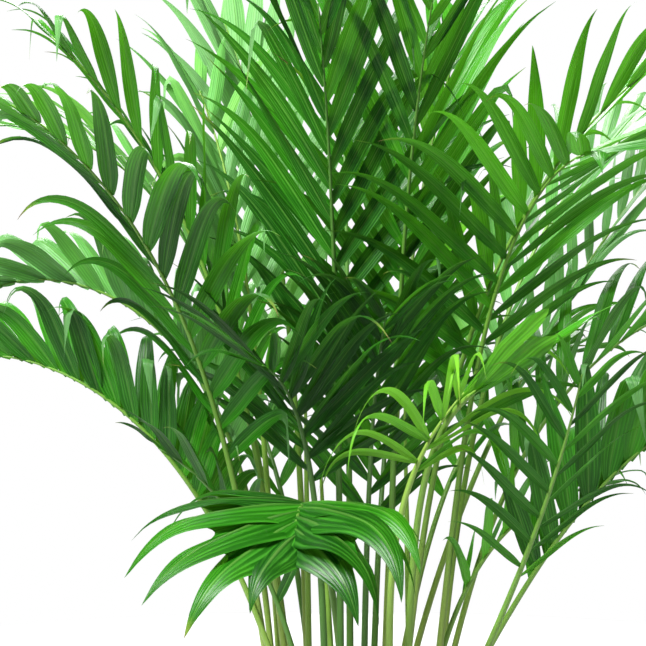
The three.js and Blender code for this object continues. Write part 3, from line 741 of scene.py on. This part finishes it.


def add_blade(build, leaflet, rng, young, node, lean=0.0):
    """One leaflet as a folded, ribbed, slightly twisted blade that tapers to a drooping point."""
    t = np.linspace(0, 1, BLADE_STATIONS) ** STATION_POWER
    middle = smooth(leaflet["points"], t) + leaflet["shift"] * ((1 - t) ** 2)[:, None]
    kink = rng.uniform(*KINK_PLACES) if rng.random() < KINKS.get(node, KINK) else NO_KINK
    middle = hooked(middle, t, HOOKS.get(node, HOOK) * rng.gamma(*HOOK_SPREAD), kink)
    across = smooth(leaflet["across"], t)
    aside = rng.normal(0, SIDEWAYS) * t**2 + lean * t
    middle = middle + across * (aside * leaflet["length"])[:, None]
    across, normal = squared(middle, across)
    turn = rng.normal(0, TWIST_SPREAD)
    if rng.random() < TURNED_SHARE:
        turn += rng.choice([-TURNED, TURNED])
    twist = math.radians(turn) * t**TWIST_POWER
    twist = twist + RIPPLE * np.sin(RIPPLES * t + rng.uniform(0, PHASES))
    side = across * np.cos(twist)[:, None] + normal * np.sin(twist)[:, None]
    up = normal * np.cos(twist)[:, None] - across * np.sin(twist)[:, None]
    width = leaflet["width"] * WIDER.get(node, WIDE)
    half = fan_half_width(width, t) if node in FANS else half_width(width, t)
    half = np.maximum(half, LEAST_HALF_WIDTH)
    v = np.linspace(-1, 1, BLADE_COLUMNS)
    fold = (FOLD_AT_ROOT - FOLD_LOSS * t)[:, None]
    phase = rng.uniform(0, PHASES, 2)
    both, counter = EDGE_WAVES
    wave = both * np.sin(t * rng.uniform(*WAVES) + phase[0])[:, None] * v**2
    wave = wave + counter * np.sin(t * rng.uniform(*WAVES) + phase[1])[:, None] * v * np.abs(v)
    height = fold * (FOLD_LEVEL - np.abs(v)) + PLEAT * np.cos(PLEATS * math.pi * v) + wave
    grid = (
        middle[:, None]
        + side[:, None] * (half[:, None] * v)[:, :, None]
        + up[:, None] * (half[:, None] * height)[:, :, None]
    )
    dry = NO_DRY if rng.random() < SOUND_SHARE else 1 - abs(rng.normal(0.0, DRY_TIP))
    if rng.random() < DRY_END_SHARE:
        dry = rng.uniform(*DRY_ENDS)
    # painted backlight on whole pale fronds and on the hanging ends of kinked blades
    pale = PALE.get(node, 0.0) + HANGING_PALE * np.clip((t - kink) / KINK_RUN, 0, 1)[:, None]
    build.patch(
        grid, 0, along=t[:, None], across=v[None], tone=rng.random(),
        young=young + rng.normal(0, YOUNG_SPREAD), dry=dry, pale=pale,
    )
    return middle, up


WEB_ROWS = 14
WEB_COLUMNS = 11
WEB_REACH = 0.62  # share of the blades' length that stays joined beside a blade
WEB_NOTCH = 0.16  # how much shorter the joined part is half way between two blades
WEB_FOLD = 5
WEB_TONE = 0.5


def add_web(build, one, two, young):
    """The pleated surface that joins two neighbouring blades of a fan as far as their notch."""
    c = np.linspace(0, 1, WEB_COLUMNS)
    fold = np.sin(math.pi * c)
    rows = np.linspace(0, 1, WEB_ROWS)[:, None]
    share = rows * (WEB_REACH - WEB_NOTCH * fold)
    shape = (WEB_ROWS, WEB_COLUMNS, 3)
    a, b = (smooth(line, share.ravel()).reshape(shape) for line in (one[0], two[0]))
    up = 0.5 * sum(smooth(line, share.ravel()).reshape(shape) for line in (one[1], two[1]))
    grid = a + (b - a) * c[None, :, None] - up * (WEB_FOLD * fold * rows)[:, :, None]
    build.patch(
        grid, 0, along=share, across=2 * c[None] - 1, tone=WEB_TONE, young=young, dry=NO_DRY
    )


FINGER_SPLIT = 0.7  # share of the length up to which the fingers are joined
FINGER_REACH = 1.15  # length, as a share of the part's leaflet
FINGERS = ((-1, 0.84), (1, 1.0))  # side, and length as a share of the longer one's
FINGER_COLUMNS = 7
FINGER_ROOT_WIDTH = 0.3
FINGER_SWELL = 1.15  # how much broader they get over the first half
FINGER_PARTING = 0.35  # how much wider apart they stand at their tips
FINGER_TAPER_POWER = 1.4
FINGER_LEAST_WIDTH = 0.02
FINGER_FOLD = 0.18
FINGER_PLEAT = 0.05
FINGER_PLEATS = 9
FINGER_RIBS = 1.4  # how much denser their ribs are than on a blade
FINGER_YOUNG = 0.4  # how much younger they look than the rest of the frond


def add_fingers(build, leaflet, rng, young):
    """A broad leaflet that is not yet parted: two fingers, joined up to the split."""
    t = np.linspace(0, 1, BLADE_STATIONS)
    middle = smooth(leaflet["points"], t)
    root = middle[:1]
    middle = root + (middle - root) * FINGER_REACH
    across, up = squared(middle, smooth(leaflet["across"], t))
    swell = FINGER_SWELL * np.minimum(1, t / 0.5) ** 0.8
    spread = 0.5 * leaflet["width"] * (FINGER_ROOT_WIDTH + swell)
    past = np.maximum(t - FINGER_SPLIT, 0) / (1 - FINGER_SPLIT)
    apart = 1 + FINGER_PARTING * past[:, None]
    tone = rng.random()
    for side, reach in FINGERS:
        narrow = np.clip(1 - (past / reach) ** FINGER_TAPER_POWER, FINGER_LEAST_WIDTH, 1)
        v = side * 0.5 + 0.5 * narrow[:, None] * np.linspace(-1, 1, FINGER_COLUMNS)[None]
        height = FINGER_FOLD * (0.5 - np.abs(v)) + FINGER_PLEAT * np.cos(v * FINGER_PLEATS)
        shrink = (1 - (1 - reach) * np.minimum(1, t / 0.6) ** 3)[:, None, None]
        grid = (
            root
            + (middle - root)[:, None] * shrink
            + across[:, None] * (spread[:, None] * v * apart)[:, :, None]
            + up[:, None] * (spread[:, None] * height)[:, :, None]
        )
        build.patch(
            grid, 0, along=t[:, None], across=v * FINGER_RIBS, tone=tone,
            young=young + FINGER_YOUNG, dry=NO_DRY,
        )


STALK_RING = 12
STALK_RADII = (5.6, 3.7, 0.9)  # foot, where the leaflets begin, tip
FOOT_FLARE = 2.2  # how much the foot is widened, and how far up
FOOT_FLARE_RUN = 30
STALK_GROOVE = 0.22
CAP_SHARE = 0.02  # the closed ends, as a share of the ring's radius


def shrunk(ring, share):
    """A ring of points drawn in to its middle."""
    middle = ring.mean(1, keepdims=True)
    return middle + (ring - middle) * share


def add_stalk(build, spine, plan, young, tone):
    """The leaf stalk and midrib: a smooth tapered rod, grooved above, with a widened foot."""
    s = np.linspace(0, 1, SPINE_STEPS + 1)
    points = smooth(spine[0], s)
    along = np.gradient(points, axis=0)
    along[0] = along[0] * 0.3 + UP * np.linalg.norm(along[0])
    along /= np.linalg.norm(along, axis=1, keepdims=True)
    across = np.cross(along, UP)
    across[0] = across[1]
    across /= np.maximum(np.linalg.norm(across, axis=1, keepdims=True), 1e-9)
    upper = np.cross(across, along)
    radius = tapered(s, plan["blade"], STALK_RADII)
    radius = radius + FOOT_FLARE * np.exp(-s * plan["length"] / FOOT_FLARE_RUN)
    angle = np.arange(STALK_RING) * 2 * math.pi / STALK_RING
    groove = 1 - STALK_GROOVE * np.clip(np.sin(angle), 0, 1) ** 3
    grid = (
        points[:, None]
        + across[:, None] * (radius[:, None] * np.cos(angle) * groove)[:, :, None]
        + upper[:, None] * (radius[:, None] * np.sin(angle) * groove)[:, :, None]
    )
    grid = np.vstack([shrunk(grid[:1], CAP_SHARE), grid, shrunk(grid[-1:], CAP_SHARE)])
    share = np.concatenate([[0], s, [1]])[:, None]
    turn = np.sin(angle)[None]
    build.patch(grid, 1, closed=True, along=share, across=turn, tone=tone, young=young)


def ride(piece, node):
    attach(piece, "root")
    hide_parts(node)


# ---------------------------------------------------------------- fronds

FROND_SEED = 1000
SEEDS_PER_FROND = 64  # the part's random numbers start anew for each leaflet


def leaflet_as_built(spine, plan, pair, side, seed, corners):
    """The leaflet with the turn that the part took, or nothing where the part left it out."""
    for turn in TURNS:
        leaflet = grow_leaflet(spine, plan, pair, side, seed, turn)
        if corners.off(leaflet["points"][-1]) < FOUND_MM:
            return leaflet
    return None


def add_frond(build, number, plan, node):
    """A stalk and its leaflets. Returns how many leaflets the part left out."""
    corners = Corners(node)
    spine = spine_as_built(seat_of(plan["stem"], plan["facing"]), plan, corners)
    rng = np.random.default_rng(FROND_SEED + number)
    # the frond's age, with its painted shade and backlight
    young = plan["young"]
    add_stalk(build, spine, plan, young, rng.random())
    left_out, last = 0, {}
    for pair in range(plan["pairs"]):
        for side in (-1, 1):
            seed = number * SEEDS_PER_FROND + pair * 2 + (1 if side > 0 else 0) + 1
            leaflet = leaflet_as_built(spine, plan, pair, side, seed, corners)
            if leaflet is None:
                left_out += 1
                continue
            if plan["pairs"] == 1:
                add_fingers(build, leaflet, rng, young)
                continue
            for lean in STRANDS.get(node, (0.0,)):
                lines = add_blade(build, leaflet, rng, young, node, lean)
            if node in FANS:
                if side in last:
                    add_web(build, last[side], lines, young)
                last[side] = lines
    return left_out


left_out = 0
for number, plan in enumerate(FRONDS):
    node = f"frond_{number + 1:02d}"
    build = Build()
    left_out += add_frond(build, number, plan, node)
    ride(build.make(node + "_live", [LEAF, STALK]), node)
print("leaflets not found:", left_out)

# ---------------------------------------------------------------- spears

SPEAR_YOUNG = 0.6
SPEAR_TONES = (0.4, 0.2)  # of the first, and how much more each next one has

for number, (stem, facing, lean, length) in enumerate(SPEARS):
    node = f"spear_{number + 1:02d}"
    plan = {
        "stem": stem, "facing": facing, "rise": lean, "fall": lean, "power": 1, "curl": 0,
        "length": length, "blade": SPEAR_NECK_PLACE,
    }
    spine = spine_as_built(seat_of(stem, facing), plan, Corners(node))
    build = Build()
    first, more = SPEAR_TONES
    add_stalk(build, spine, plan, SPEAR_YOUNG, first + more * number)
    ride(build.make(node + "_live", [LEAF, STALK]), node)

# ---------------------------------------------------------------- stems

STEM_SEED = 40
STEM_RING = 40
STEM_ROWS = 16
STEM_LET_IN = 30  # how deep the look goes into the soil
STEM_LOBES = 6
CROWN_RINGS = (0.6, 0.01)  # radii of the rings that close the top, as shares of its own
CROWN_ALONG = (0.4, 0.0)  # and where their colour is taken from, as a share of the height
SHEATH_EDGES = 7
SHEATH_COLUMNS = 13
SHEATH_ROWS = 7
SHEATH_GAP = 1.02  # radius of a sheath, as a share of the stem's
SHEATH_SPREAD = 1.4  # how far its upper edge stands off


def add_stem_core(build, centre, rng):
    """The stem's foot: a slightly lobed and rough column with a fibrous crown."""
    angle = np.arange(STEM_RING) * 2 * math.pi / STEM_RING
    t = np.linspace(0, 1, STEM_ROWS)
    low, high = SOIL_LEVEL - STEM_LET_IN, STEM_TOP - 0.5
    base = STEM_RADIUS * (1.0 + 0.05 * np.sin(t * 3) - 0.12 * t**3)
    lobes = 1 + 0.03 * np.cos(STEM_LOBES * angle)[None] * t[:, None]
    rough = 1 + 0.012 * rng.normal(size=(STEM_ROWS, STEM_RING))
    radius = base[:, None] * lobes * rough
    grid = np.zeros((STEM_ROWS + len(CROWN_RINGS), STEM_RING, 3))
    grid[:STEM_ROWS, :, 0] = centre[0] + radius * np.cos(angle)
    grid[:STEM_ROWS, :, 1] = centre[1] + radius * np.sin(angle)
    grid[:STEM_ROWS, :, 2] = (low + (high - low) * t)[:, None]
    top = grid[STEM_ROWS - 1]
    for k, share in enumerate(CROWN_RINGS):
        grid[STEM_ROWS + k] = top
        grid[STEM_ROWS + k, :, :2] = centre[:2] + (top[:, :2] - centre[:2]) * share
    along = np.concatenate([t, CROWN_ALONG])[:, None]
    across = (angle / math.pi)[None]
    build.patch(grid, 0, closed=True, along=along, across=across, tone=rng.random())


def add_sheath_edge(build, centre, rng, k):
    """A thin curved scale that clasps the stem and ends in a torn tip."""
    start, width = rng.uniform(0, 6.28), rng.uniform(0.9, 1.5)
    foot, top = SOIL_LEVEL - 6 + rng.uniform(0, 8), SOIL_LEVEL + rng.uniform(10, 20)
    a = start + np.linspace(-width, width, SHEATH_COLUMNS)
    z = np.linspace(0, 1, SHEATH_ROWS)
    edge = (1 - (np.linspace(-1, 1, SHEATH_COLUMNS)) ** 2) ** 0.5
    out = STEM_RADIUS * SHEATH_GAP + 0.5 * k * 0.3 + SHEATH_SPREAD * z[:, None]
    out = out + rng.normal(0, 0.15, (SHEATH_ROWS, SHEATH_COLUMNS))
    scale = np.zeros((SHEATH_ROWS, SHEATH_COLUMNS, 3))
    scale[..., 0] = centre[0] + out * np.cos(a)
    scale[..., 1] = centre[1] + out * np.sin(a)
    scale[..., 2] = foot + (top - foot) * z[:, None] * (0.35 + 0.65 * edge)[None]
    across = (a / 3)[None] + k
    build.patch(scale, 0, along=z[:, None] * 0.7, across=across, tone=rng.random())


for number in range(len(STEM_ANGLES) + 1):
    node = f"stem_{number + 1:02d}"
    rng = np.random.default_rng(STEM_SEED + number)
    build = Build()
    add_stem_core(build, stem_centre(number), rng)
    for k in range(SHEATH_EDGES):
        add_sheath_edge(build, stem_centre(number), rng, k)
    ride(build.make(node + "_live", [SHEATH]), node)

# ---------------------------------------------------------------- pot

POT_SIDES = 128
POT_ROUNDING = 3.0
POT_STEP = 12  # greatest distance between two rings of the pot
INNER_TOP = POT_RIM_RADIUS - RIM_BAND_DEPTH - POT_WALL
BAND_FOOT = POT_HEIGHT - RIM_BAND_HEIGHT
POT_OUTLINE = [  # radius and height, from the middle of the foot round the rim and down inside
    (0.5, 0),
    (POT_BASE_RADIUS - 1, 0),
    (POT_BASE_RADIUS, 2),
    (POT_RIM_RADIUS - RIM_BAND_DEPTH, BAND_FOOT - 3),
    (POT_RIM_RADIUS - 1, BAND_FOOT + 1),
    (POT_RIM_RADIUS, POT_HEIGHT),
    (INNER_TOP, POT_HEIGHT),
    (INNER_TOP - 5, SOIL_LEVEL - 20),
]


def rounded(corners, cut, steps=4):
    """An outline with each corner rounded by a short curve."""
    points = [np.array(corners[0], float)]
    for a, b, c in zip(corners, corners[1:], corners[2:]):
        a, b, c = (np.array(p, float) for p in (a, b, c))
        reach = min(cut, 0.45 * np.linalg.norm(a - b), 0.45 * np.linalg.norm(c - b))
        p, q = b + unit(a - b) * reach, b + unit(c - b) * reach
        for w in np.linspace(0, 1, steps):
            points.append((1 - w) ** 2 * p + 2 * w * (1 - w) * b + w * w * q)
    points.append(np.array(corners[-1], float))
    return np.array(points)


def subdivided(outline, step):
    """The same outline with its long stretches cut in pieces."""
    points = [outline[0]]
    for p, q in zip(outline, outline[1:]):
        pieces = max(1, int(np.linalg.norm(q - p) / step))
        points += [p + (q - p) * (k + 1) / pieces for k in range(pieces)]
    return np.array(points)


def add_pot(build):
    """The outline turned round the axis, slightly uneven as thrown clay is."""
    outline = subdivided(rounded(POT_OUTLINE, POT_ROUNDING), POT_STEP)
    angle = np.arange(POT_SIDES) * 2 * math.pi / POT_SIDES
    wobble = 1 + 0.0012 * np.sin(3 * angle + 1)[None]
    wobble = wobble + 0.0008 * np.sin(outline[:, 1] / 9)[:, None]
    x = outline[:, :1] * np.cos(angle) * wobble
    y = outline[:, :1] * np.sin(angle) * wobble
    z = np.broadcast_to(outline[:, 1:], x.shape)
    build.patch(np.stack([x, y, z], -1), 0, closed=True)


build = Build()
add_pot(build)
ride(build.make("pot_live", [CLAY]), "pot")

# ---------------------------------------------------------------- soil

SOIL_SEED = 7
SOIL_RINGS = 46
SOIL_SIDES = 150
SOIL_EDGE = INNER_TOP - 4
SOIL_GRAIN_HEIGHT = 0.7
LUMPS = 60
LUMP_WIDTHS = (6, 22)
LUMP_HEIGHTS = (-1.6, 1.8)
CHIPS = 520  # pieces of bark on the soil
CHIP_LENGTHS = (2, 7)
CHIP_LATITUDES = 5
CHIP_LONGITUDES = 7
CHIP_ROUGHNESS = 0.18
CHIP_TILT = 0.35
CHIP_SINK = 0.5


def soil_height(radius):
    """The soil is level in the middle and falls towards the wall."""
    past = (radius / SOIL_EDGE - SOIL_CROWN_SHARE) / (1 - SOIL_CROWN_SHARE)
    return SOIL_LEVEL - SOIL_MOUND * np.clip(past, 0, 1)


def add_soil(build, rng):
    radius = np.linspace(0.5, SOIL_EDGE, SOIL_RINGS)[:, None]
    angle = np.arange(SOIL_SIDES) * 2 * math.pi / SOIL_SIDES
    x, y = radius * np.cos(angle), radius * np.sin(angle)
    z = soil_height(radius) + rng.normal(0, SOIL_GRAIN_HEIGHT, (SOIL_RINGS, SOIL_SIDES))
    for _ in range(LUMPS):
        cx, cy = rng.uniform(-SOIL_EDGE, SOIL_EDGE), rng.uniform(-SOIL_EDGE, SOIL_EDGE)
        w = rng.uniform(*LUMP_WIDTHS)
        bell = np.exp(-((x - cx) ** 2 + (y - cy) ** 2) / (2 * w * w))
        z = z + rng.uniform(*LUMP_HEIGHTS) * bell
    build.patch(np.stack([x, y, z], -1), 0, closed=True, tone=0.0)


def add_chip(build, rng):
    """One flat, rough piece of bark, lying a little tilted on the soil."""
    r, a = SOIL_EDGE * 0.98 * math.sqrt(rng.random()), rng.uniform(0, 2 * math.pi)
    size = rng.uniform(*CHIP_LENGTHS)
    size = size * np.array([1, rng.uniform(0.4, 0.8), rng.uniform(0.2, 0.45)])
    tilt = np.linalg.qr(rng.normal(size=(3, 3)))[0]
    spin = rng.uniform(0, 2 * math.pi)
    cos, sin = math.cos(spin), math.sin(spin)
    flat = np.array([[cos, -sin, 0], [sin, cos, 0], [0, 0, 1]])
    turn = unit(flat + CHIP_TILT * tilt) * math.sqrt(3)
    lat, lon = np.meshgrid(
        np.linspace(-1.5, 1.5, CHIP_LATITUDES),
        np.arange(CHIP_LONGITUDES) * 2 * math.pi / CHIP_LONGITUDES,
        indexing="ij",
    )
    ball = np.stack([np.cos(lat) * np.cos(lon), np.cos(lat) * np.sin(lon), np.sin(lat)], -1)
    ball = ball * (1 + CHIP_ROUGHNESS * rng.normal(size=lat.shape)[..., None]) * size
    centre = np.array([r * math.cos(a), r * math.sin(a), soil_height(r) + CHIP_SINK])
    build.patch(ball @ turn.T + centre, 0, closed=True, tone=rng.random())


rng = np.random.default_rng(SOIL_SEED)
build = Build()
add_soil(build, rng)
for _ in range(CHIPS):
    add_chip(build, rng)
ride(build.make("soil_live", [SOIL]), "soil")

# ---------------------------------------------------------------- studio

FLOOR_RADIUS = 2.5
FLOOR_SIDES = 96
AMBIENT = 0.08  # strength of the white room as a light; behind the plant it stays white
LIGHTS = [  # name, place, target, size, watts
    ("key", (-1.5, -1.9, 3.4), (0, 0, 0.95), 1.1, 420),
    ("fill", (2.6, -1.6, 1.9), (0, 0, 0.9), 1.4, 22),
    ("back", (-0.6, 2.4, 3.2), (0, 0, 1.0), 1.8, 225),
]
# The camera looks at the middle of the foliage, a little down.
LENS = 100
SENSOR = 36
DISTANCE = 2.39
DOWN = math.radians(3)
AIM = (-0.045, 0.0, 0.93)


def add_floor():
    mesh = bpy.data.meshes.new("floor")
    turns = [2 * math.pi * k / FLOOR_SIDES for k in range(FLOOR_SIDES)]
    edge = [(FLOOR_RADIUS * math.cos(a), FLOOR_RADIUS * math.sin(a), 0) for a in turns]
    mesh.from_pydata(edge, [], [tuple(range(FLOOR_SIDES))])
    mesh.materials.append(floor_material())
    floor = bpy.data.objects.new("floor", mesh)
    bpy.context.scene.collection.objects.link(floor)


def add_room():
    """A white room that the camera sees at full strength and the plant as a dim, even light."""
    world = bpy.data.worlds.new("studio")
    bpy.context.scene.world = world
    world.use_nodes = True
    nodes, links = world.node_tree.nodes, world.node_tree.links
    background = nodes["Background"]
    background.inputs["Color"].default_value = (1, 1, 1, 1)
    seen = nodes.new("ShaderNodeLightPath").outputs["Is Camera Ray"]
    level = nodes.new("ShaderNodeMapRange")
    level.inputs["To Min"].default_value = AMBIENT
    level.inputs["To Max"].default_value = 1.0
    links.new(seen, level.inputs["Value"])
    links.new(level.outputs["Result"], background.inputs["Strength"])


def add_light(name, place, target, size, watts):
    data = bpy.data.lights.new(name, "AREA")
    data.shape = "SQUARE"
    data.size = size
    data.energy = watts
    light = bpy.data.objects.new(name, data)
    light.location = place
    aim = Vector(target) - Vector(place)
    light.rotation_euler = aim.to_track_quat("-Z", "Y").to_euler()
    bpy.context.scene.collection.objects.link(light)


def add_camera():
    data = bpy.data.cameras.new("camera")
    data.lens = LENS
    data.sensor_width = SENSOR
    camera = bpy.data.objects.new("camera", data)
    x, y, z = AIM
    camera.location = (x, y - DISTANCE * math.cos(DOWN), z + DISTANCE * math.sin(DOWN))
    camera.rotation_euler = (math.pi / 2 - DOWN, 0, 0)
    bpy.context.scene.collection.objects.link(camera)
    bpy.context.scene.camera = camera


add_floor()
add_room()
for light in LIGHTS:
    add_light(*light)
add_camera()
bpy.context.scene.view_settings.view_transform = "Standard"
